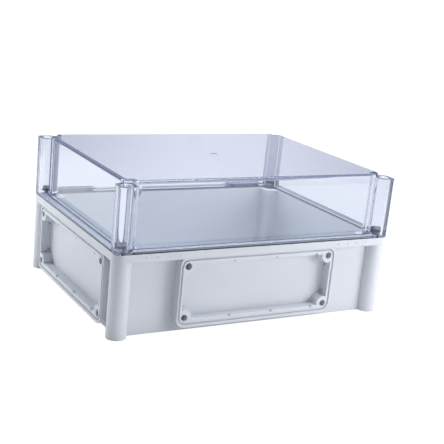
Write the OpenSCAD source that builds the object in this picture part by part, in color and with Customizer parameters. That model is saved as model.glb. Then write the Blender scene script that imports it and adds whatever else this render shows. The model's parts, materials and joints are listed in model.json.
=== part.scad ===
// Modular polycarbonate enclosure: an opaque base with four flange frames, a deep clear
// cover on two external hinges, a foam gasket and four captive cover screws.
// Frame: origin at the centre of the base's underside, +X right, +Y to the hinges, +Z up.

/* [Base] */
// Overall width of the rim, left to right
body_w = 380; // [370:1:400]
// Overall depth of the rim, front to rear
body_d = 280; // [272:1:300]
// Height of the base up to the top of its rim
base_h = 101; // [99:0.5:110]
// How far the walls stand back from the rim
wall_inset = 12; // [11:0.25:13]
// Thickness of the base walls
wall_t = 4; // [3:0.25:5]
// Thickness of the floor
floor_t = 3.5; // [3:0.25:5]
// Radius of the four corner columns
column_r = 12; // [11:0.25:12.5]
// Wall left round the coring of a column
column_wall = 3.5; // [2.5:0.25:4]
// Reach of the pillar inside the box, from the column's axis
pillar_reach = 22; // [18:0.5:24]
// Corner radius of the pillar inside the box
pillar_r = 8; // [4:0.5:10]
// Fillet between a pillar and the walls inside
pillar_fillet = 4; // [1:0.5:6]
// Depth of the outer rim band
rim_h = 9; // [8:0.5:11]
// Thickness of the rim plate
rim_t = 3.5; // [3:0.25:4.5]
// Thickness of the rim's outer lip
lip_t = 3; // [2:0.25:4]
// Width of the sealing ridge on the rim
ridge_w = 1.6; // [1:0.1:2]
// Height of the sealing ridge
ridge_h = 0.9; // [0.5:0.1:1]

/* [Flange frames] */
// Width of a flange frame over its outer lip
frame_w = 216.4; // [206:0.2:224]
// Height of a flange frame
frame_h = 88.4; // [88:0.2:92]
// Height of the frame's centre above the floor
frame_mid_z = 51.2; // [50:0.1:53]
// Corner radius of a flange frame
frame_r = 11; // [8:0.5:14]
// Width of the outer lip beside the gasket groove
frame_lip = 1.2; // [1:0.1:1.6]
// Width of the gasket groove
groove_w = 2.4; // [1.4:0.1:2.8]
// Depth of the gasket groove
groove_depth = 1.8; // [1:0.1:3]
// Extra lip below and above the gasket groove
groove_drop = 2.5; // [1:0.1:3]
// Width of the pocket at its floor
pocket_w = 201.4; // [196:0.2:202]
// Height of the pocket at its floor
pocket_h = 66.8; // [60:0.2:69]
// Corner radius of the pocket
pocket_r = 1; // [0.5:0.25:2]
// Width of the step down the pocket's two short sides
pocket_step = 1.4; // [0.8:0.1:1.6]
// Depth of the pocket's wider front part
step_depth = 9; // [6:0.5:10]
// Width between the flange screw holes
flange_hole_w = 196.4; // [190:0.2:200]
// Height between the flange screw holes
flange_hole_h = 63.1; // [58:0.1:66]
// Distance between the notches along the pocket's long edges
notch_pitch = 59; // [56:0.5:60]
// How far the notches stand off the frame's middle, towards one end
notch_shift = 8.2; // [6:0.2:9]
// Radius of the notches in the pocket's long edges
edge_notch_r = 2; // [1.2:0.1:2.4]
// How far the middle of those notches lies outside the edge
edge_notch_out = 0.4; // [0.2:0.1:0.8]
// Depth of those notches
edge_notch_t = 3; // [2:0.25:8]
// Radius of the notches in the steps of the short sides
side_notch_r = 1.2; // [1:0.1:1.4]
// Height of the notches in the short edges from the frame's middle
side_notch_z = 17.2; // [12:0.2:19]
// Radius of a flange screw hole
flange_hole_r = 4.2; // [2.5:0.1:4.5]
// Plastic left behind a flange screw hole
flange_hole_end = 1.5; // [1:0.25:3]
// Radius of the boss round a flange screw hole
flange_boss_r = 9.2; // [7.5:0.1:10]

/* [Floor] */
// Distance between wall-mounting holes, left to right
wall_hole_w = 290; // [280:1:292]
// Distance between wall-mounting holes, front to rear
wall_hole_d = 200; // [194:1:202]
// Radius of a wall-mounting hole
wall_hole_r = 3.25; // [2.5:0.05:4]
// Radius of the sleeve round a wall-mounting hole
wall_sleeve_r = 8; // [7:0.25:9]
// Height of the sleeve above the floor
wall_sleeve_h = 5; // [3:0.5:8]
// Radius of the counterbore for the wall screw's head
wall_head_r = 5.8; // [5:0.1:6.5]
// Distance between plate bosses, left to right
boss_w = 270; // [240:1:280]
// Distance between plate bosses, front to rear
boss_d = 176; // [150:1:180]
// Radius of a plate boss
boss_r = 5; // [4.5:0.25:6]
// Height of a plate boss above the floor
boss_h = 8; // [7:0.5:12]

/* [Cover] */
// Overall height with the cover shut
total_h = 182.5; // [150:0.5:200]
// Gap between the rim and the shut cover
parting_gap = 0.2; // [0.2:0.05:0.4]
// Thickness of the cover's flange
flange_t = 3.6; // [3.2:0.1:5]
// How far the flange stands back from the rim
flange_back = 0.5; // [0.3:0.1:1.5]
// Thickness of the clear walls
cover_t = 3; // [2.5:0.25:4]
// Thickness of the clear top
top_t = 3; // [2.5:0.25:4]
// Radius of the cover's top edges
top_edge_r = 4; // [1:0.25:5]
// Corner radius of the cover's flange
flange_r = 7.5; // [4:0.5:8]
// Height of the plinth at the foot of the walls
plinth_h = 3.6; // [2:0.2:5]
// How far the plinth stands out from the walls
plinth_out = 1.2; // [0.5:0.1:2]
// Half width of the corner posts
post_half = 11.2; // [10.5:0.1:11.4]
// Radius of a post's outer corner
post_corner_r = 5.5; // [3:0.25:8]
// Radius of a post's flanks, next to the walls
post_flank_r = 8; // [5:0.25:10]
// Reach of the bulge that each post makes inside the cover, from the screw's axis
bulge_reach = 15.4; // [15.2:0.1:18]
// Corner radius of the bulge
bulge_r = 8; // [5:0.5:9]
// Fillet between a bulge and the walls inside
bulge_fillet = 4; // [1:0.5:6]
// How far the posts end below the top
post_drop = 4.3; // [3.5:0.1:8]
// Gap between a post's sides and the step up to the top
notch_gap = 0.4; // [0:0.1:1]
// Corner radius of that step
notch_corner_r = 4; // [2:0.25:6]
// Rounding of the top plate over that step
notch_r = 2; // [1:0.25:3]
// Thickness of the floor of a post, under the screw's washer
post_floor = 2; // [1.5:0.1:2]
// Thickness of the cap at the top of a post
cap_t = 3.2; // [2:0.1:5]
// How far a cap stands out round its post
cap_out = 0.3; // [0.1:0.1:0.5]
// Radius of the screw channel down a post
channel_r = 6.4; // [5.8:0.1:6.6]
// Chamfer round the mouth of the screw channel
channel_chamfer = 0.8; // [0.3:0.1:1]
// Radius of the moulding gate's recess at the centre of the top
gate_r = 4.4; // [2:0.2:8]
// Depth of the gate's recess
gate_depth = 0.5; // [0.2:0.1:1]
// Radius of the gate's stub
gate_stub_r = 1.1; // [0.5:0.1:1.5]
// Height of the gate's stub
gate_stub_h = 0.35; // [0.1:0.05:0.5]

/* [Gasket] */
// Width of the gasket and of its groove
gasket_w = 5; // [4:0.25:5.5]
// Thickness of the gasket
gasket_t = 1.6; // [1.2:0.1:1.8]
// Distance of the gasket's middle line outside the wall's outer face
gasket_out = 0.6; // [0:0.1:1]
// Reach of the gasket's middle line round each screw, from the screw's axis
gasket_reach = 11.7; // [11.2:0.1:12]
// Bend radius of the gasket's middle line
gasket_bend_r = 5; // [4:0.25:6]
// Gap between the shut gasket and the ridge
gasket_gap = 0.1; // [0.05:0.05:0.3]

/* [Cover screws] */
// Radius of the screw's shank
screw_r = 3; // [2.5:0.05:3.5]
// Radial clearance of the shank in the insert and the washer
screw_gap = 0.06; // [0.03:0.01:0.1]
// Radial clearance of the shank in the cover
screw_free = 0.4; // [0.3:0.05:0.8]
// Radius of the screw's head
head_r = 4.6; // [4.2:0.1:5]
// Height of the screw's head
head_h = 4.5; // [3.5:0.1:6]
// Width of the screwdriver slot
slot_w = 1.3; // [0.8:0.1:2]
// Depth of the screwdriver slot
slot_depth = 1.9; // [1:0.1:2.5]
// Thickness of the sealing washer
washer_t = 0.9; // [0.6:0.1:1.5]
// Radius of the sealing washer
washer_r = 5.2; // [5:0.1:6]
// How far the screw travels down as it is screwed in
screw_travel = 4.2; // [3:0.1:6]
// Radius of the brass insert in each column
insert_r = 4.5; // [4.2:0.1:5]
// Length of the brass insert in each column
insert_len = 8; // [6:0.5:12]

/* [Hinges] */
// Distance of each hinge's middle from the end of the box
hinge_inset = 58; // [54:0.5:60]
// Width of a hinge leaf
leaf_w = 54; // [52:1:60]
// Thickness of a hinge leaf
leaf_t = 2.4; // [2.2:0.1:3]
// Height of the leaf on the base
base_leaf_h = 7.8; // [7:0.1:8.2]
// Height of the leaf on the cover
cover_leaf_h = 5.8; // [5.6:0.1:8.5]
// Length of the middle knuckle
knuckle_len = 22; // [16:0.5:26]
// Radius of the knuckles
knuckle_r = 3.5; // [3:0.1:3.6]
// Gap between the pin's knuckles and the leaf plates
knuckle_gap = 0.5; // [0.4:0.05:0.8]
// Gap between neighbouring knuckles
knuckle_side_gap = 0.35; // [0.3:0.05:0.6]
// Gap between each leaf and the parting plane
leaf_gap = 0.35; // [0.3:0.05:0.6]
// Radius of the hinge pin
pin_r = 1.75; // [1.4:0.05:2]
// Radial clearance of the pin in the turning knuckle
pin_run = 0.06; // [0.03:0.01:0.1]
// Radial clearance of the pin in the fixed knuckles
pin_seat = 0.02; // [0.01:0.01:0.05]
// Thickness of the pin's head
pin_head_t = 1.2; // [0.8:0.1:2]
// Distance between a leaf's screws
leaf_screw_gap = 42; // [38:1:44]
// Radius of a leaf screw's shank
leaf_screw_r = 1.45; // [1.2:0.05:1.6]
// Length of a leaf screw
leaf_screw_len = 10; // [7:0.5:11]
// Radius of a leaf screw's countersunk head
leaf_head_r = 2.5; // [2.2:0.1:2.7]
// Depth of a leaf screw's countersunk head
leaf_head_h = 1.6; // [1:0.1:1.8]
// Height of the clear pads that the cover leaves are screwed to
pad_h = 6; // [5.8:0.1:12]
// Radius of the drill marks on the rim
mark_r = 0.9; // [0.5:0.1:1.5]
// Depth of the drill marks
mark_depth = 0.7; // [0.3:0.1:1.5]
// Distance between drill marks
mark_step = 14; // [10:0.5:14]

/* [Floor inserts] */
// Radius of the threaded bore in a plate boss
plate_bore_r = 2; // [1.5:0.1:2.5]
// Radius of a plate boss's brass insert
plate_insert_r = 3.2; // [2.8:0.1:3.6]
// Length of a plate boss's brass insert
plate_insert_len = 6; // [4:0.5:7]

/* [Hidden] */
$fn = 64;
slack = 0.02;      // between a part pressed in and its seat
insert_groove_w = 1.2;                         // the groove round a brass insert
insert_groove_t = 0.35;
screw_chamfer = 0.5;
leaf_slot = 0.7;                               // width and depth of the slot in a leaf screw
pin_head_out = 1;                              // how far a hinge pin's head stands out round it
past = 1;          // how far a cut runs past the face it opens
hw = body_w / 2;
hinge_x = hw - hinge_inset;
hd = body_d / 2;
wx = hw - wall_inset;                          // outer face of the side walls
wy = hd - wall_inset;                          // outer face of the front and rear walls
column_x = wx;
column_y = wy;
rim_r = wall_inset;
rim_low_z = base_h - rim_h;
flange_z = base_h + parting_gap;               // underside of the cover
flange_top_z = flange_z + flange_t;
post_top_z = total_h - post_drop;
channel_floor_z = flange_z + post_floor;
gasket_z = base_h + ridge_h + gasket_gap;
groove_top_z = gasket_z + gasket_t;
tip_z = flange_z + parting_gap;                // tip of a screw that is backed out
head_z = channel_floor_z + washer_t + 2 * screw_gap + screw_travel;
insert_sink = 0.3;                             // the column inserts lie this far below the rim
insert_z = base_h - insert_sink;
tip_room = 2;                                  // room for a screw's tip under its insert
axis_y = hd + leaf_t + knuckle_gap + knuckle_r;
axis_z = base_h + parting_gap / 2;
cover_back_y = hd - flange_back;
base_leaf_top = axis_z - leaf_gap;
cover_leaf_low = axis_z + leaf_gap;
pad_top_z = cover_leaf_low + pad_h;
base_screw_z = base_leaf_top - base_leaf_h / 2;
cover_screw_z = cover_leaf_low + cover_leaf_h / 2;
pillar_core_far = pillar_reach - column_wall;              // coring beside the column
core_overlap = 1;                              // coring beside the column runs into the column's
pillar_core_near = column_r - column_wall - core_overlap;
pillar_core_mid = (pillar_core_far + pillar_core_near) / 2;
pillar_core_w = pillar_core_far - pillar_core_near;
notch_half = post_half + notch_gap;
CORNERS = [[-1, -1], [1, -1], [-1, 1], [1, 1]];

// ---- outlines ----

// Rectangle with true round corners, centred
module round_rect(w, d, r) {
  square([w - 2 * r, d], center = true);
  square([w, d - 2 * r], center = true);
  for (c = CORNERS)
    translate([c[0] * (w / 2 - r), c[1] * (d / 2 - r)]) circle(r);
}

// What is left outside a round corner of radius r whose two sides meet at the origin
module corner_tip(r) {
  translate([-past, -past]) difference() {
    square(r + past);
    translate([r + past, r + past]) circle(r);
  }
}

// Block in the corner of a rectangle of half sizes sx, sy: it reaches inwards from the
// column's axis, with a round inner corner and fillets against the rectangle's sides
module corner_block(sx, sy, reach, r, f) {
  bx = column_x - reach;
  by = column_y - reach;
  difference() {
    translate([bx, by]) square([sx - bx + past, sy - by + past]);
    translate([bx, by]) corner_tip(r);
  }
  translate([bx, sy]) rotate(180) corner_tip(f);
  translate([sx, by]) rotate(180) corner_tip(f);
}

// Rectangle of half sizes sx, sy that steps inwards round the four corner columns
module notched_rect(sx, sy, reach, r, f) {
  difference() {
    square([2 * sx, 2 * sy], center = true);
    for (c = CORNERS) scale([c[0], c[1]]) corner_block(sx, sy, reach, r, f);
  }
}

// Band of width w along the gasket's middle line
module seal_band(w) {
  mid_x = wx + gasket_out;
  mid_y = wy + gasket_out;
  h = w / 2;
  difference() {
    notched_rect(mid_x + h, mid_y + h, gasket_reach - h, gasket_bend_r - h, gasket_bend_r + h);
    notched_rect(mid_x - h, mid_y - h, gasket_reach + h, gasket_bend_r + h, gasket_bend_r - h);
  }
}

module at_columns() {
  for (c = CORNERS) translate([c[0] * column_x, c[1] * column_y, 0]) children();
}

// ---- base ----

// A flange frame's outline in the wall's plane, extruded from depth d0 to d1 in front of the wall
module frame_slab(w, h, r, d0, d1) {
  translate([0, -d0, frame_mid_z]) rotate([90, 0, 0]) linear_extrude(d1 - d0) round_rect(w, h, r);
}

module at_flange_holes() {
  for (c = CORNERS)
    translate([c[0] * flange_hole_w / 2, -wall_inset, frame_mid_z + c[1] * flange_hole_h / 2])
      rotate([90, 0, 0]) children();
}

// One level of the pocket, from depth d0 outwards, with the screw bosses left standing
module pocket_cut(grow, d0) {
  difference() {
    frame_slab(pocket_w + 2 * grow, pocket_h, pocket_r, d0, wall_inset + past);
    at_flange_holes() translate([0, 0, -wall_inset - past])
      cylinder(r = flange_boss_r + pocket_step - grow, h = wall_inset + 3 * past);
  }
}

// Round notches: three in each long edge of the pocket, and two in each short side's step
module edge_notches() {
  long_x = [for (i = [-0.5, 0.5, 1.5]) i * notch_pitch - notch_shift];
  for (x = long_x, t = [-1, 1])
    translate([x, edge_notch_t - wall_inset, frame_mid_z + t * (pocket_h / 2 + edge_notch_out)])
      rotate([90, 0, 0]) cylinder(r = edge_notch_r, h = edge_notch_t + past);
  for (s = [-1, 1], t = [-1, 1])
    translate([s * (pocket_w + pocket_step) / 2, past, frame_mid_z + t * side_notch_z])
      rotate([90, 0, 0]) cylinder(r = side_notch_r, h = wall_inset - step_depth + 1.5 * past);
}

module frame_cuts() {
  groove_w_out = frame_w - 2 * frame_lip;
  groove_h_out = frame_h - 2 * (frame_lip + groove_drop);
  groove_r = frame_r - frame_lip;
  pocket_cut(0, -past);
  pocket_cut(pocket_step, wall_inset - step_depth);
  edge_notches();
  difference() {
    frame_slab(groove_w_out, groove_h_out, groove_r, wall_inset - groove_depth, wall_inset + past);
    frame_slab(groove_w_out - 2 * groove_w, groove_h_out - 2 * groove_w, groove_r - groove_w,
               wall_inset - groove_depth - past, wall_inset + 2 * past);
  }
  at_flange_holes() translate([0, 0, flange_hole_end - wall_inset])
    cylinder(r = flange_hole_r, h = wall_inset);
}

// A frame round one wall's flange pocket, seated on the wall and up to the rim: turned by
// angle a, with the wall's outer face at the distance back from the middle
module flange_frame(a, back) {
  color("gainsboro") difference() {
    rotate([0, 0, a]) translate([0, -back, 0]) difference() {
      frame_slab(frame_w, frame_h, frame_r, 0, wall_inset);
      frame_cuts();
    }
    rim();
    rim_pads();
  }
}

// The rim: a plate with a lip hanging from its outer edge
module rim() {
  translate([0, 0, base_h - rim_t]) linear_extrude(rim_t) round_rect(body_w, body_d, rim_r);
  translate([0, 0, rim_low_z]) linear_extrude(rim_h) difference() {
    round_rect(body_w, body_d, rim_r);
    round_rect(body_w - 2 * lip_t, body_d - 2 * lip_t, rim_r - lip_t);
  }
}

// Solid pads behind the rim, front and rear, where hinge screws can go
module rim_pads() {
  for (s = [-1, 1], t = [-1, 1])
    translate([s * hinge_x - leaf_w / 2, t > 0 ? wy - past : -hd + lip_t / 2, rim_low_z])
      cube([leaf_w, wall_inset - lip_t / 2 + past, rim_h - rim_t / 2]);
}

module floor_holes() {
  for (c = CORNERS) translate([c[0] * wall_hole_w / 2, c[1] * wall_hole_d / 2, 0]) {
    translate([0, 0, -past]) cylinder(r = wall_hole_r, h = floor_t + wall_sleeve_h + 2 * past);
    translate([0, 0, floor_t]) cylinder(r = wall_head_r, h = wall_sleeve_h + past);
  }
}

module at_plate_bosses() {
  for (c = CORNERS) translate([c[0] * boss_w / 2, c[1] * boss_d / 2, floor_t]) children();
}

module column_cuts() {
  core_h = insert_z - insert_len - tip_room - 2 * column_wall;
  at_columns() {
    translate([0, 0, -past]) cylinder(r = column_r - column_wall, h = core_h + past);
    translate([0, 0, insert_z - insert_len]) cylinder(r = insert_r + slack, h = insert_len + past);
    translate([0, 0, insert_z - insert_len - tip_room])
      cylinder(r = screw_r + screw_free, h = tip_room + past);
  }
  for (c = CORNERS) scale([c[0], c[1], 1])
    translate([column_x - pillar_core_mid, column_y - pillar_core_mid, -past])
      linear_extrude(core_h + past) round_rect(pillar_core_w, pillar_core_w, core_overlap);
}

module drill_marks() {
  for (s = [-1, 1], i = [-1.5:1:1.5])
    translate([s * hinge_x + i * mark_step, -hd - past, base_screw_z])
      rotate([-90, 0, 0]) cylinder(r = mark_r, h = mark_depth + past);
}

module leaf_screw_holes(z, y) {
  for (s = [-1, 1], t = [-1, 1])
    translate([s * hinge_x + t * leaf_screw_gap / 2, y - leaf_screw_len + leaf_t - slack, z])
      rotate([-90, 0, 0]) cylinder(r = leaf_screw_r + slack, h = leaf_screw_len);
}

module base_shell() {
  color("gainsboro") difference() {
    union() {
      linear_extrude(base_h) square([2 * wx, 2 * wy], center = true);
      at_columns() cylinder(r = column_r, h = base_h);
      rim();
      rim_pads();
      translate([0, 0, base_h - past]) linear_extrude(past + ridge_h) seal_band(ridge_w);
    }
    difference() {
      translate([0, 0, floor_t]) linear_extrude(base_h)
        notched_rect(wx - wall_t, wy - wall_t, pillar_reach, pillar_r, pillar_fillet);
      at_plate_bosses() cylinder(r = boss_r, h = boss_h);
      for (c = CORNERS) translate([c[0] * wall_hole_w / 2, c[1] * wall_hole_d / 2, floor_t])
        cylinder(r = wall_sleeve_r, h = wall_sleeve_h);
    }
    column_cuts();
    floor_holes();
    at_plate_bosses() translate([0, 0, boss_h - plate_insert_len])
      cylinder(r = plate_insert_r + slack, h = plate_insert_len + past);
    drill_marks();
    leaf_screw_holes(base_screw_z, hd);
  }
}

// Brass tube with a groove round its middle, standing on z = 0
module brass_insert(r, bore, len) {
  difference() {
    cylinder(r = r, h = len);
    translate([0, 0, -past]) cylinder(r = bore, h = len + 2 * past);
    translate([0, 0, (len - insert_groove_w) / 2]) difference() {
      cylinder(r = r + past, h = insert_groove_w);
      translate([0, 0, -past]) cylinder(r = r - insert_groove_t, h = len + 2 * past);
    }
  }
}

module column_inserts() {
  color("goldenrod") at_columns() translate([0, 0, insert_z - insert_len])
    brass_insert(insert_r, screw_r + screw_gap, insert_len);
}

module floor_inserts() {
  color("goldenrod") at_plate_bosses() translate([0, 0, boss_h - plate_insert_len])
    brass_insert(plate_insert_r, plate_bore_r, plate_insert_len);
}

// ---- cover ----

// Profile of the cover's box seen along one axis: half width w, square foot, round top edges
module dome_profile(w, z0, z1, r) {
  translate([-w, z0]) square([2 * w, z1 - z0 - r]);
  translate([-w + r, z0]) square([2 * (w - r), z1 - z0]);
  for (s = [-1, 1]) translate([s * (w - r), z1 - r]) circle(r);
}

module cover_box() {
  intersection() {
    translate([0, hd, 0]) rotate([90, 0, 0]) linear_extrude(body_d)
      dome_profile(wx, flange_z, total_h, top_edge_r);
    translate([-hw, 0, 0]) rotate([90, 0, 90]) linear_extrude(body_w)
      dome_profile(wy, flange_z, total_h, top_edge_r);
  }
}

// Rounding of the top plate, as a section that starts at radius or distance r0
module notch_edge(r0) {
  translate([r0, total_h - notch_r]) difference() {
    square([notch_r, notch_r + past]);
    translate([notch_r, 0]) circle(notch_r);
  }
}

// Cut over a post in the positive corner, with a round shoulder up to the top plate
module post_notch() {
  side = notch_half - notch_corner_r;
  reach = notch_half + wall_inset;
  translate([0, 0, post_top_z]) linear_extrude(total_h - post_top_z + past) {
    translate([-notch_half, -side]) square([reach + past, side + reach]);
    translate([-side, -notch_half]) square([side + reach, reach + past]);
    translate([-side, -side]) circle(notch_corner_r);
  }
  translate([-side, -side, 0]) rotate_extrude() notch_edge(notch_corner_r);
  translate([0, reach, 0]) rotate([90, 0, 0]) linear_extrude(reach + side)
    mirror([1, 0]) notch_edge(notch_half);
  translate([reach, 0, 0]) rotate([90, 0, -90]) linear_extrude(reach + side) notch_edge(notch_half);
}

// A post's outline in the positive corner, grown by g
module post_outline(g) {
  h = post_half + g;
  difference() {
    square(2 * h, center = true);
    translate([h, h]) rotate(180) corner_tip(post_corner_r + g);
    translate([h, -h]) rotate(90) corner_tip(post_flank_r + g);
    translate([-h, h]) rotate(-90) corner_tip(post_flank_r + g);
  }
}

module cover_post() {
  translate([0, 0, flange_z]) linear_extrude(post_top_z - flange_z) post_outline(0);
  translate([0, 0, post_top_z - cap_t]) linear_extrude(cap_t) post_outline(cap_out);
}

module screw_channel() {
  translate([0, 0, channel_floor_z]) cylinder(r = channel_r, h = total_h - channel_floor_z);
  translate([0, 0, post_top_z - channel_chamfer])
    cylinder(r1 = channel_r, r2 = channel_r + channel_chamfer + slack, h = channel_chamfer + slack);
  translate([0, 0, flange_z - past]) cylinder(r = screw_r + screw_free, h = post_floor + 2 * past);
}

// Places its children, drawn for the positive corner, in all four
module in_corners() {
  for (c = CORNERS) scale([c[0], c[1], 1]) translate([column_x, column_y, 0]) children();
}

// Clear blocks on the rear of the flange that take the hinge screws
module hinge_pads() {
  for (s = [-1, 1])
    translate([s * hinge_x - leaf_w / 2, wy - past, flange_top_z - past])
      cube([leaf_w, cover_back_y - wy + past, pad_top_z - flange_top_z + past]);
}

module gate_mark() {
  translate([0, 0, total_h - gate_depth]) difference() {
    cylinder(r = gate_r, h = gate_depth + past);
    cylinder(r = gate_stub_r, h = gate_stub_h);
  }
}

module cover_shell() {
  color("aliceblue", 0.35) difference() {
    union() {
      translate([0, 0, flange_z]) linear_extrude(flange_t)
        round_rect(body_w - 2 * flange_back, body_d - 2 * flange_back, flange_r);
      translate([0, 0, flange_z]) linear_extrude(flange_t + plinth_h)
        square([2 * (wx + plinth_out), 2 * (wy + plinth_out)], center = true);
      difference() {
        cover_box();
        in_corners() post_notch();
      }
      in_corners() cover_post();
      hinge_pads();
    }
    translate([0, 0, flange_z - past]) linear_extrude(total_h - top_t - flange_z + past)
      notched_rect(wx - cover_t, wy - cover_t, bulge_reach, bulge_r, bulge_fillet);
    translate([0, 0, flange_z - past]) linear_extrude(groove_top_z - flange_z + past)
      seal_band(gasket_w);
    in_corners() screw_channel();
    gate_mark();
    leaf_screw_holes(cover_screw_z, cover_back_y);
  }
}

module cover_gasket() {
  color("dimgray") translate([0, 0, gasket_z]) linear_extrude(gasket_t - slack)
    seal_band(gasket_w - 2 * slack);
}

// ---- cover screws ----

module cover_screw(sx, sy) {
  color("slategray") translate([sx * column_x, sy * column_y, 0]) {
    difference() {
      union() {
        translate([0, 0, tip_z + screw_chamfer]) cylinder(r = screw_r, h = head_z - tip_z);
        translate([0, 0, tip_z]) cylinder(r1 = screw_r - screw_chamfer, r2 = screw_r, h = screw_chamfer);
        translate([0, 0, head_z]) cylinder(r = head_r, h = head_h - screw_chamfer);
        translate([0, 0, head_z + head_h - screw_chamfer])
          cylinder(r1 = head_r, r2 = head_r - screw_chamfer, h = screw_chamfer);
      }
      translate([-head_r - past, -slot_w / 2, head_z + head_h - slot_depth])
        cube([2 * (head_r + past), slot_w, slot_depth + past]);
    }
  }
}

module screw_washer(sx, sy) {
  color("dimgray") translate([sx * column_x, sy * column_y, head_z - screw_gap - washer_t]) difference() {
    cylinder(r = washer_r, h = washer_t);
    translate([0, 0, -past]) cylinder(r = screw_r + screw_gap, h = washer_t + 2 * past);
  }
}

// ---- hinges ----

module along_x(r, len) { rotate([0, 90, 0]) cylinder(r = r, h = len, center = true); }

module leaf_screw_sinks(z, y) {
  for (t = [-1, 1]) translate([t * leaf_screw_gap / 2, y, z]) {
    rotate([90, 0, 0]) cylinder(r = leaf_screw_r + slack, h = 2 * leaf_t, center = true);
    translate([0, leaf_t - leaf_head_h, 0]) rotate([-90, 0, 0])
      cylinder(r1 = leaf_screw_r + slack, r2 = leaf_head_r + 2 * slack, h = leaf_head_h);
    translate([0, leaf_t - slack, 0]) rotate([-90, 0, 0]) cylinder(r = leaf_head_r + 2 * slack, h = past);
  }
}

module hinge_base_leaf(s) {
  end_len = (leaf_w - knuckle_len) / 2 - knuckle_side_gap;
  color("silver") translate([s * hinge_x, 0, 0]) difference() {
    union() {
      translate([-leaf_w / 2, hd, base_leaf_top - base_leaf_h]) cube([leaf_w, leaf_t, base_leaf_h]);
      for (t = [-1, 1]) translate([t * (leaf_w - end_len) / 2, 0, 0]) {
        translate([0, axis_y, axis_z]) along_x(knuckle_r, end_len);
        translate([-end_len / 2, hd, axis_z - knuckle_r])
          cube([end_len, axis_y - hd, knuckle_r - leaf_gap]);
      }
    }
    translate([0, axis_y, axis_z]) along_x(pin_r + pin_seat, leaf_w + 2 * past);
    leaf_screw_sinks(base_screw_z, hd);
  }
}

module hinge_cover_leaf(s) {
  color("silver") translate([s * hinge_x, 0, 0]) difference() {
    union() {
      translate([-leaf_w / 2, cover_back_y, cover_leaf_low])
        cube([leaf_w, hd + leaf_t - cover_back_y, cover_leaf_h]);
      translate([0, axis_y, axis_z]) along_x(knuckle_r, knuckle_len);
      translate([-knuckle_len / 2, cover_back_y, cover_leaf_low])
        cube([knuckle_len, axis_y - cover_back_y, knuckle_r - leaf_gap]);
    }
    translate([0, axis_y, axis_z]) along_x(pin_r + pin_run, knuckle_len + 2 * past);
    leaf_screw_sinks(cover_screw_z, hd);
  }
}

module hinge_pin(s) {
  color("lightgray") translate([s * hinge_x, axis_y, axis_z]) {
    along_x(pin_r, leaf_w + 2 * slack);
    translate([-s * (leaf_w / 2 + pin_head_t / 2 + slack), 0, 0]) along_x(pin_r + pin_head_out, pin_head_t);
  }
}

// Countersunk screws, heads flush with the outer face of the leaves
module leaf_screws(z) {
  outer_y = hd + leaf_t;
  color("silver") for (s = [-1, 1], t = [-1, 1])
    translate([s * hinge_x + t * leaf_screw_gap / 2, outer_y - slack, z]) rotate([90, 0, 0]) difference() {
      union() {
        cylinder(r1 = leaf_head_r, r2 = leaf_screw_r, h = leaf_head_h);
        cylinder(r = leaf_screw_r, h = leaf_screw_len - 3 * slack);
      }
      translate([-leaf_slot / 2, -leaf_head_r, -past]) cube([leaf_slot, 2 * leaf_head_r, past + leaf_slot]);
    }
}

base_shell();
flange_frame(0, wy);  // flange_frame_front
flange_frame(180, wy);  // flange_frame_rear
flange_frame(270, wx);  // flange_frame_left
flange_frame(90, wx);  // flange_frame_right
column_inserts();
floor_inserts();
cover_shell();
cover_gasket();
cover_screw(-1, -1);  // cover_screw_front_left
cover_screw(1, -1);  // cover_screw_front_right
cover_screw(-1, 1);  // cover_screw_rear_left
cover_screw(1, 1);  // cover_screw_rear_right
screw_washer(-1, -1);  // screw_washer_front_left
screw_washer(1, -1);  // screw_washer_front_right
screw_washer(-1, 1);  // screw_washer_rear_left
screw_washer(1, 1);  // screw_washer_rear_right
hinge_base_leaf(-1);  // hinge_base_leaf_left
hinge_base_leaf(1);  // hinge_base_leaf_right
hinge_cover_leaf(-1);  // hinge_cover_leaf_left
hinge_cover_leaf(1);  // hinge_cover_leaf_right
hinge_pin(-1);  // hinge_pin_left
hinge_pin(1);  // hinge_pin_right
leaf_screws(base_screw_z);  // base_leaf_screws
leaf_screws(cover_screw_z);  // cover_leaf_screws
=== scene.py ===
import json
import math
import bpy
from mathutils import Matrix, Vector


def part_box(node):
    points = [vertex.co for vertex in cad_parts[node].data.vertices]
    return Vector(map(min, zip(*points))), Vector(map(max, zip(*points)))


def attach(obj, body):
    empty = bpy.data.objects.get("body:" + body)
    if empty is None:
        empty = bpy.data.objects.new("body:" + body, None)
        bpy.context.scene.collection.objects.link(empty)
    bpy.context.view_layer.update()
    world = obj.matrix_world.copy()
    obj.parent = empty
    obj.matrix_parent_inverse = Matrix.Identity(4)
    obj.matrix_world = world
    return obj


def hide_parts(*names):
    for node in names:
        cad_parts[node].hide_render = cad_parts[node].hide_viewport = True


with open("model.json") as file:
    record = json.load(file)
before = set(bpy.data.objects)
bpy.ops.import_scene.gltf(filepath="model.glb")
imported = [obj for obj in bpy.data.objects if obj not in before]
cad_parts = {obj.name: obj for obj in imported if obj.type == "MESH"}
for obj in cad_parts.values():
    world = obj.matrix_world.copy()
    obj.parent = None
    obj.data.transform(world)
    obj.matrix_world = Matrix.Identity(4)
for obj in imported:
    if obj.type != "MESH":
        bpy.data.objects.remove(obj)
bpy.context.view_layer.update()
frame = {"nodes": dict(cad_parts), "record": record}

scene = bpy.context.scene
nodes = frame["nodes"]
corners = ("front_left", "front_right", "rear_left", "rear_right")
print("frame loaded:", len(nodes), "nodes")


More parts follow.
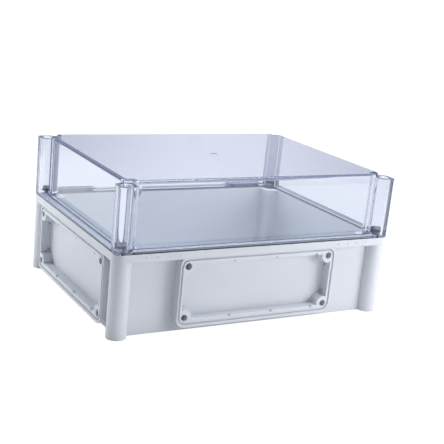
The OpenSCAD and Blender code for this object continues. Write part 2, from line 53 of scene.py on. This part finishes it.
# a shader socket that takes part in Python sums
class Sock:
    def __init__(self, owner, out):
        self.owner = owner
        self.out = out

    def math(self, op, a, b=0.0):
        return self.owner.node("ShaderNodeMath", {"operation": op}, [a, b])

    def __add__(self, o):
        return self.math("ADD", self, o)

    def __sub__(self, o):
        return self.math("SUBTRACT", self, o)

    def __mul__(self, o):
        return self.math("MULTIPLY", self, o)

    def __radd__(self, o):
        return self.math("ADD", o, self)

    def __rsub__(self, o):
        return self.math("SUBTRACT", o, self)

    def __rmul__(self, o):
        return self.math("MULTIPLY", o, self)

    def __gt__(self, o):
        return self.math("GREATER_THAN", self, o)


# the node tree of a material, or of the world
class Finish:
    def __init__(self, name, world=None):
        self.holder = world or bpy.data.materials.new(name)
        self.holder.use_nodes = True
        self.tree = self.holder.node_tree
        self.tree.nodes.clear()
        self.end = self.tree.nodes.new("ShaderNodeOutputWorld" if world else "ShaderNodeOutputMaterial")

    def feed(self, socket, value):
        if isinstance(value, Sock):
            self.tree.links.new(value.out, socket)
        elif value is not None:
            socket.default_value = value

    # one node of any kind: its settings first, then the values or links of its sockets
    def node(self, kind, settings=None, inputs=None, out=0):
        n = self.tree.nodes.new(kind)
        for key, value in (settings or {}).items():
            setattr(n, key, value)
        pairs = inputs.items() if isinstance(inputs, dict) else enumerate(inputs or [])
        for key, value in pairs:
            self.feed(n.inputs[key], value)
        return Sock(self, n.outputs[out])

    def place(self):
        return self.node("ShaderNodeTexCoord", out="Object")

    def noise(self, scale, detail=2.0, rough=0.5, stretch=None):
        spot = self.place()
        if stretch:
            spot = self.node("ShaderNodeVectorMath", {"operation": "MULTIPLY"}, [spot, stretch])
        return self.node("ShaderNodeTexNoise", None, {"Vector": spot, "Scale": scale, "Detail": detail,
                                                      "Roughness": rough})

    def blend(self, amount, first, second):
        return self.node("ShaderNodeMix", {"data_type": "RGBA"},
                         {"Factor": amount, 6: first, 7: second}, out=2)

    def bump(self, height, distance, strength=1.0, normal=None):
        return self.node("ShaderNodeBump", None, {"Height": height, "Distance": distance,
                                                  "Strength": strength, "Normal": normal})

    def softEdge(self, radius, samples):
        return self.node("ShaderNodeBevel", {"samples": samples}, {"Radius": radius})

    def shader(self, **sockets):
        names = {k.replace("_", " "): v for k, v in sockets.items()}
        return self.node("ShaderNodeBsdfPrincipled", None, names)

    def mixed(self, amount, first, second):
        return self.node("ShaderNodeMixShader", None, [amount, first, second])

    # 1 for any of these kinds of ray, 0 for the rest
    def rays(self, *kinds):
        found = [self.node("ShaderNodeLightPath", out="Is " + kind + " Ray") for kind in kinds]
        while len(found) > 1:
            found.append(found[0].math("MAXIMUM", found.pop(0), found.pop(0)))
        return found[0]

    def close(self, surface, volume=None):
        self.feed(self.end.inputs["Surface"], surface)
        if volume:
            self.feed(self.end.inputs["Volume"], volume)
        return self.holder


def linear(r, g, b):
    one = lambda c: c / 12.92 if c <= 0.04045 else ((c + 0.055) / 1.055) ** 2.4
    return (one(r / 255), one(g / 255), one(b / 255), 1.0)


greyPlastic = {"colour": (211, 215, 222), "shade": (203, 207, 215), "roughness": 0.42, "gloss": 0.45,
               "cloudScale": 14.0, "grainScale": 2600.0, "grainDepth": 0.00004, "edgeRadius": 0.0006}


def mouldedGrey():
    p = greyPlastic
    f = Finish("mouldedGreyPlastic")
    cloud = f.noise(p["cloudScale"], 3.0)
    grain = f.noise(p["grainScale"], 2.0, 0.6)
    soft = f.softEdge(p["edgeRadius"], 6)
    return f.close(f.shader(Base_Color=f.blend(cloud, linear(*p["colour"]), linear(*p["shade"])),
                            Roughness=p["roughness"] + (cloud - 0.5) * 0.12 + (grain - 0.5) * 0.1,
                            Normal=f.bump(grain, p["grainDepth"], 0.5, soft),
                            Specular_IOR_Level=p["gloss"]))


# painted shade: past a set number of bounces the clear sheet turns to a flat dark diffuse colour, which
# paints the dark lines that refraction gives along its edges
clearPlastic = {"surface": (247, 250, 254), "ior": 1.585, "tint": (0.72, 0.84, 1.0, 1.0), "density": 3.5,
                "shadow": (0.97, 0.985, 1.0, 1.0), "rippleScale": 9.0, "rippleDepth": 0.0002,
                "paintedEdgeShade": (0.18, 0.195, 0.28, 1.0), "paintedShadeAfter": 4.5}


def clearCover():
    p = clearPlastic
    f = Finish("clearPolycarbonate")
    ripple = f.noise(p["rippleScale"], 1.0)
    glass = f.shader(Base_Color=linear(*p["surface"]), Roughness=0.0, IOR=p["ior"],
                     Transmission_Weight=1.0, Normal=f.bump(ripple, p["rippleDepth"], 0.15))
    through = f.node("ShaderNodeBsdfTransparent", None, [p["shadow"]])
    paintedShadeRays = f.node("ShaderNodeLightPath", out="Ray Depth") > p["paintedShadeAfter"]
    # painted shade: a dark diffuse colour standing in for the sheet's dark refracted edge lines
    paintedEdgeShade = f.node("ShaderNodeBsdfDiffuse", None, {"Color": p["paintedEdgeShade"]})
    sheet = f.mixed(paintedShadeRays, glass, paintedEdgeShade)
    depth = f.node("ShaderNodeVolumeAbsorption", None, {"Color": p["tint"], "Density": p["density"]})
    return f.close(f.mixed(f.rays("Shadow", "Diffuse"), sheet, through), depth)


foamRubber = {"colour": (42, 44, 50), "worn": (58, 60, 68), "roughness": 0.85,
              "poreScale": 900.0, "poreDepth": 0.0003, "patchScale": 260.0}


def foam():
    p = foamRubber
    f = Finish("foamRubber")
    pores = f.node("ShaderNodeTexVoronoi", None, {"Vector": f.place(), "Scale": p["poreScale"]})
    patch = f.noise(p["patchScale"], 3.0)
    return f.close(f.shader(Base_Color=f.blend(patch, linear(*p["colour"]), linear(*p["worn"])),
                            Roughness=p["roughness"] + patch * 0.1,
                            Normal=f.bump(pores + patch * 0.4, p["poreDepth"], 0.7)))


# lines run across the largest number of stretch
turnedBrass = {"colour": (190, 150, 84), "roughness": 0.32, "stretch": (300.0, 300.0, 6000.0)}
brightPinSteel = {"colour": (196, 198, 202), "roughness": 0.22, "stretch": (4000.0, 600.0, 600.0)}
zincScrew = {"colour": (168, 171, 180), "roughness": 0.4, "stretch": (900.0, 900.0, 5000.0)}
machining = {"lineDepth": 0.00002, "smearScale": 60.0, "darkest": 0.72, "edgeRadius": 0.0002}


def metal(name, p):
    m = machining
    f = Finish(name)
    lines = f.noise(1.0, 3.0, 0.6, p["stretch"])
    smear = f.noise(m["smearScale"], 2.0)
    dark = tuple(m["darkest"] * c for c in p["colour"])
    colour = f.blend(smear * 0.5 + lines * 0.3, linear(*p["colour"]), linear(*dark))
    return f.close(f.shader(Base_Color=colour, Metallic=1.0,
                            Roughness=p["roughness"] + (lines - 0.5) * 0.25,
                            Normal=f.bump(lines, m["lineDepth"], 0.6, f.softEdge(m["edgeRadius"], 4))))


blackRubber = {"colour": (30, 31, 33), "pale": (46, 47, 50), "roughness": 0.75, "speckScale": 1200.0,
               "speckDepth": 0.00005}


def washerRubber():
    p = blackRubber
    f = Finish("washerRubber")
    speck = f.noise(p["speckScale"], 2.0)
    return f.close(f.shader(Base_Color=f.blend(speck, linear(*p["colour"]), linear(*p["pale"])),
                            Roughness=p["roughness"] + (speck - 0.5) * 0.2,
                            Normal=f.bump(speck, p["speckDepth"], 0.5)))


finishes = {
    "grey_plastic": mouldedGrey(),
    "clear_plastic": clearCover(),
    "foam_rubber": foam(),
    "brass": metal("turnedBrass", turnedBrass),
    "pin_steel": metal("brightPinSteel", brightPinSteel),
    "screw_steel": metal("zincScrew", zincScrew),
    "washer_rubber": washerRubber(),
}
for part in frame["record"]["subparts"]:
    slots = nodes[part["node"]].data.materials
    slots.clear()
    slots.append(finishes[part["material_slot"]])
print("finishes set")


# starts a Geometry Nodes tree, and gives its inputs by name and what adds, sums and ends it
def geometryTree(name, sizes):
    tree = bpy.data.node_groups.new(name, "GeometryNodeTree")
    tree.interface.new_socket(name="Geometry", in_out="INPUT", socket_type="NodeSocketGeometry")
    for label, value in sizes.items():
        size = tree.interface.new_socket(name=label, in_out="INPUT", socket_type="NodeSocketFloat")
        size.default_value = value
    tree.interface.new_socket(name="Geometry", in_out="OUTPUT", socket_type="NodeSocketGeometry")
    given = {s.name: s for s in tree.nodes.new("NodeGroupInput").outputs}

    def add(kind, settings=None, inputs=None):
        n = tree.nodes.new(kind)
        for key, value in (settings or {}).items():
            setattr(n, key, value)
        for key, value in (inputs or {}).items():
            for v in value if isinstance(value, list) else [value]:
                if isinstance(v, bpy.types.NodeSocket):
                    tree.links.new(v, n.inputs[key])
                else:
                    n.inputs[key].default_value = v
        return n.outputs[0]

    def sum2(op, x, y):
        return add("ShaderNodeMath", {"operation": op}, {0: x, 1: y})

    def finish(shape, material):
        whole = add("GeometryNodeRealizeInstances", None, {"Geometry": shape})
        done = add("GeometryNodeSetMaterial", None, {"Geometry": whole, "Material": material})
        tree.links.new(done, tree.nodes.new("NodeGroupOutput").inputs[0])
        return tree

    return given, add, sum2, finish


# runs a tree on an object and gives back a plain mesh piece
def grown(name, tree, sizes, base=None):
    ob = bpy.data.objects.new(name, base or bpy.data.meshes.new(name))
    scene.collection.objects.link(ob)
    mod = ob.modifiers.new("grow", "NODES")
    mod.node_group = tree
    for item in tree.interface.items_tree:
        if item.item_type == "SOCKET" and item.in_out == "INPUT" and item.name in sizes:
            mod[item.identifier] = sizes[item.name]
    bpy.context.view_layer.update()
    mesh = bpy.data.meshes.new_from_object(ob.evaluated_get(bpy.context.evaluated_depsgraph_get()))
    ob.modifiers.clear()
    ob.data = mesh
    mesh.name = name
    return ob


# cover screws: slotted heads on rolled threads; Thread Share is how much of the shank has thread
coverScrews = {"Head Radius": 0.0046, "Head Height": 0.0045, "Chamfer": 0.0005, "Core Radius": 0.0026,
               "Thread Radius": 0.00285, "Thread Share": 0.72, "Ridge": 0.00014, "Pitch": 0.0015,
               "Slot Width": 0.0013, "Slot Depth": 0.0019, "Tip": 0.0003}


def screwTree():
    given, add, sum2, finish = geometryTree("coverScrewTree", dict(coverScrews, Length=0.007))

    def at(shape, z):
        lift = add("ShaderNodeCombineXYZ", None, {"Z": z})
        return add("GeometryNodeTransform", None, {"Geometry": shape, "Translation": lift})

    flat = sum2("SUBTRACT", given["Head Height"], given["Chamfer"])
    head = add("GeometryNodeMeshCylinder", None, {"Vertices": 48, "Radius": given["Head Radius"],
                                                  "Depth": flat})
    rim = add("GeometryNodeMeshCone", None, {
        "Vertices": 48, "Radius Bottom": given["Head Radius"], "Depth": given["Chamfer"],
        "Radius Top": sum2("SUBTRACT", given["Head Radius"], given["Chamfer"])})
    slotSize = add("ShaderNodeCombineXYZ", None, {
        "X": sum2("MULTIPLY", given["Head Radius"], 3.0), "Y": given["Slot Width"],
        "Z": sum2("MULTIPLY", given["Slot Depth"], 2.0)})
    solid = add("GeometryNodeMeshBoolean", {"operation": "UNION"}, {
        "Mesh 2": [at(head, sum2("MULTIPLY", flat, 0.5)), at(rim, flat)]})
    cap = add("GeometryNodeMeshBoolean", {"operation": "DIFFERENCE"}, {
        "Mesh 1": solid,
        "Mesh 2": [at(add("GeometryNodeMeshCube", None, {"Size": slotSize}), given["Head Height"])]})
    core = add("GeometryNodeMeshCylinder", None, {"Vertices": 32, "Radius": given["Core Radius"],
                                                  "Depth": given["Length"]})
    threaded = sum2("MULTIPLY", given["Length"], given["Thread Share"])
    coil = add("GeometryNodeCurveSpiral", None, {
        "Resolution": 36, "Rotations": sum2("DIVIDE", threaded, given["Pitch"]), "Height": threaded,
        "Start Radius": given["Thread Radius"], "End Radius": given["Thread Radius"]})
    coil = add("GeometryNodeSetCurveNormal", {"mode": "Z_UP"}, {"Curve": coil})
    ridge = add("GeometryNodeCurvePrimitiveCircle", None, {"Resolution": 6, "Radius": given["Ridge"]})
    ridge = add("GeometryNodeTransform", None, {"Geometry": ridge, "Scale": (1.0, 3.2, 1.0)})
    thread = add("GeometryNodeCurveToMesh", None, {"Curve": coil, "Profile Curve": ridge,
                                                   "Fill Caps": True})
    low = sum2("MULTIPLY", given["Length"], -1.0)
    body = [cap, at(core, sum2("MULTIPLY", low, 0.5)), at(thread, sum2("ADD", low, given["Tip"]))]
    return finish(add("GeometryNodeJoinGeometry", None, {"Geometry": body}), finishes["screw_steel"])


def makeCoverScrews():
    tree = screwTree()
    for corner in corners:
        low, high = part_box("cover_screw_" + corner)
        under = high.z - coverScrews["Head Height"]
        ob = grown("coverScrew_" + corner, tree, dict(coverScrews, Length=under - low.z))
        ob.data.transform(Matrix.Translation(((low.x + high.x) / 2, (low.y + high.y) / 2, under)))
        ob.data.shade_smooth()
        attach(ob, "screw_" + corner)
        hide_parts("cover_screw_" + corner)


# foam gasket: a crowned bead laid round the cover's groove; reach is from a screw to the bead
gasketBead = {"Width": 0.0048, "Thickness": 0.00156, "inset": 0.0025, "reach": 0.0117, "bend": 0.005,
              "steps": 8}


def gasketPath():
    # centre line, stepping inwards round each corner post
    p = gasketBead
    low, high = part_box("cover_gasket")
    halfX, halfY = ((b - a) / 2 - p["inset"] for a, b in ((low.x, high.x), (low.y, high.y)))
    screwLow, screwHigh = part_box("cover_screw_front_right")
    bx = (screwLow.x + screwHigh.x) / 2 - p["reach"]
    by = -(screwLow.y + screwHigh.y) / 2 - p["reach"]
    r = p["bend"]
    arcs = [((halfX - r, by - r), 0, 90), ((bx + r, by + r), 270, 180), ((bx - r, halfY - r), 0, 90)]
    quarter = []
    for (cx, cy), a0, a1 in arcs:
        for i in range(p["steps"] + 1):
            a = math.radians(a0 + (a1 - a0) * i / p["steps"])
            quarter.append((cx + r * math.cos(a), cy + r * math.sin(a)))
    ring = list(quarter)
    ring += [(-x, y) for x, y in reversed(quarter)]
    ring += [(-x, -y) for x, y in quarter]
    ring += [(x, -y) for x, y in reversed(quarter)]
    z = (low.z + high.z) / 2
    edges = [(i, (i + 1) % len(ring)) for i in range(len(ring))]
    mesh = bpy.data.meshes.new("gasketPath")
    mesh.from_pydata([(x, y, z) for x, y in ring], edges, [])
    return mesh


def makeGasket():
    sizes = {k: gasketBead[k] for k in ("Width", "Thickness")}
    given, add, sum2, finish = geometryTree("gasketTree", sizes)
    line = add("GeometryNodeMeshToCurve", None, {"Mesh": given["Geometry"]})
    line = add("GeometryNodeSetCurveNormal", {"mode": "Z_UP"}, {"Curve": line})
    section = add("ShaderNodeCombineXYZ", None, {"X": given["Width"], "Y": given["Thickness"], "Z": 1.0})
    oval = add("GeometryNodeCurvePrimitiveCircle", None, {"Resolution": 20, "Radius": 0.5})
    oval = add("GeometryNodeTransform", None, {"Geometry": oval, "Scale": section})
    bead = add("GeometryNodeCurveToMesh", None, {"Curve": line, "Profile Curve": oval})
    ob = grown("gasketBead", finish(bead, finishes["foam_rubber"]), sizes, gasketPath())
    ob.data.shade_smooth()
    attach(ob, "cover")
    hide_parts("cover_gasket")


makeCoverScrews()
makeGasket()
print("screws and gasket made")

# the floor is paper for light on it, and mostly its own white or pale glow for the eye and glass
floorPaper = {"size": 12.0, "z": -0.0002, "colour": (0.86, 0.86, 0.87, 1.0), "share": 0.84,
              "white": 1.16, "through": (0.92, 0.93, 1.0, 1.0)}


def makeFloor():
    p = floorPaper
    h, z = p["size"] / 2, p["z"]
    mesh = bpy.data.meshes.new("floor")
    mesh.from_pydata([(-h, -h, z), (h, -h, z), (h, h, z), (-h, h, z)], [], [(0, 1, 2, 3)])
    floor = bpy.data.objects.new("floor", mesh)
    scene.collection.objects.link(floor)
    f = Finish("floorWhite")
    paper = f.shader(Base_Color=p["colour"], Roughness=0.9, Specular_IOR_Level=0.0)
    white = f.node("ShaderNodeEmission", None, [(1, 1, 1, 1), p["white"]])
    pale = f.node("ShaderNodeEmission", None, [p["through"], 1.0])
    behind = f.mixed(f.rays("Glossy", "Transmission") * p["share"], paper, pale)
    mesh.materials.append(f.close(f.mixed(f.rays("Camera") * p["share"], behind, white)))


# gloss and glass see four pale panels round the object, with darker gaps between them
studio = {"fillColour": (0.93, 0.96, 1.0, 1.0), "fill": 0.22, "panel": (0.79, 0.82, 0.95, 1.0),
          "gap": (0.20, 0.22, 0.34, 1.0), "panels": 4.0, "heading": 60.0, "sharpness": 8.0}


def makeWorld():
    p = studio
    scene.world = bpy.data.worlds.new("studio")
    f = Finish("studio", scene.world)
    x = f.node("ShaderNodeSeparateXYZ", None, [f.node("ShaderNodeTexCoord", out="Generated")])
    y = Sock(f, x.out.node.outputs["Y"])
    turn = f.node("ShaderNodeMath", {"operation": "COSINE"},
                  [(x.math("ARCTAN2", y, x) - math.radians(p["heading"])) * p["panels"]])
    panel = turn.math("POWER", turn * 0.5 + 0.5, p["sharpness"])
    gloss = f.node("ShaderNodeBackground", None, [f.blend(panel, p["gap"], p["panel"]), 1.0])
    fill = f.node("ShaderNodeBackground", None, [p["fillColour"], p["fill"]])
    white = f.node("ShaderNodeBackground", None, [(1, 1, 1, 1), 1.0])
    lit = f.mixed(f.rays("Glossy", "Transmission"), fill, gloss)
    f.close(f.mixed(f.rays("Camera"), lit, white))


lampAim = (0, 0, 0.09)
lamps = {
    "rightBox": {"at": (0.66, -0.68, 0.26), "size": 0.5, "watts": 4.9, "gloss": False},
    "leftBox": {"at": (-0.62, 0.60, 0.32), "size": 0.5, "watts": 4.5, "gloss": False},
    "topBox": {"at": (0.15, -0.08, 1.2), "size": 0.9, "watts": 16.0, "gloss": True},
}


def makeLamps():
    for name, p in lamps.items():
        data = bpy.data.lights.new(name, "AREA")
        data.shape = "SQUARE"
        data.size = p["size"]
        data.energy = p["watts"]
        ob = bpy.data.objects.new(name, data)
        ob.location = p["at"]
        ob.rotation_euler = (Vector(lampAim) - Vector(p["at"])).to_track_quat("-Z", "Y").to_euler()
        ob.visible_glossy = p["gloss"]
        ob.visible_transmission = p["gloss"]
        scene.collection.objects.link(ob)


# angles in degrees, lens in mm on a 36 mm sensor
viewPoint = {"azimuth": -30.70, "elevation": 15.37, "roll": 5.82, "lens": 77.02, "sensor": 36.0,
             "at": (-0.59875, -1.04667, 0.42411)}


def makeCamera():
    p = viewPoint
    az, el, roll = (math.radians(p[k]) for k in ("azimuth", "elevation", "roll"))
    back = Vector((math.sin(az) * math.cos(el), -math.cos(az) * math.cos(el), math.sin(el)))
    right = Vector((0, 0, 1)).cross(back).normalized()
    up = back.cross(right)
    right, up = (right * math.cos(roll) + up * math.sin(roll),
                 up * math.cos(roll) - right * math.sin(roll))
    data = bpy.data.cameras.new("camera")
    data.lens = p["lens"]
    data.sensor_width = p["sensor"]
    ob = bpy.data.objects.new("camera", data)
    ob.matrix_world = Matrix.Translation(p["at"]) @ Matrix((right, up, back)).transposed().to_4x4()
    scene.collection.objects.link(ob)
    scene.camera = ob


makeFloor()
makeWorld()
makeLamps()
makeCamera()
scene.view_settings.view_transform = "Standard"
print("stage, lamps and camera set")
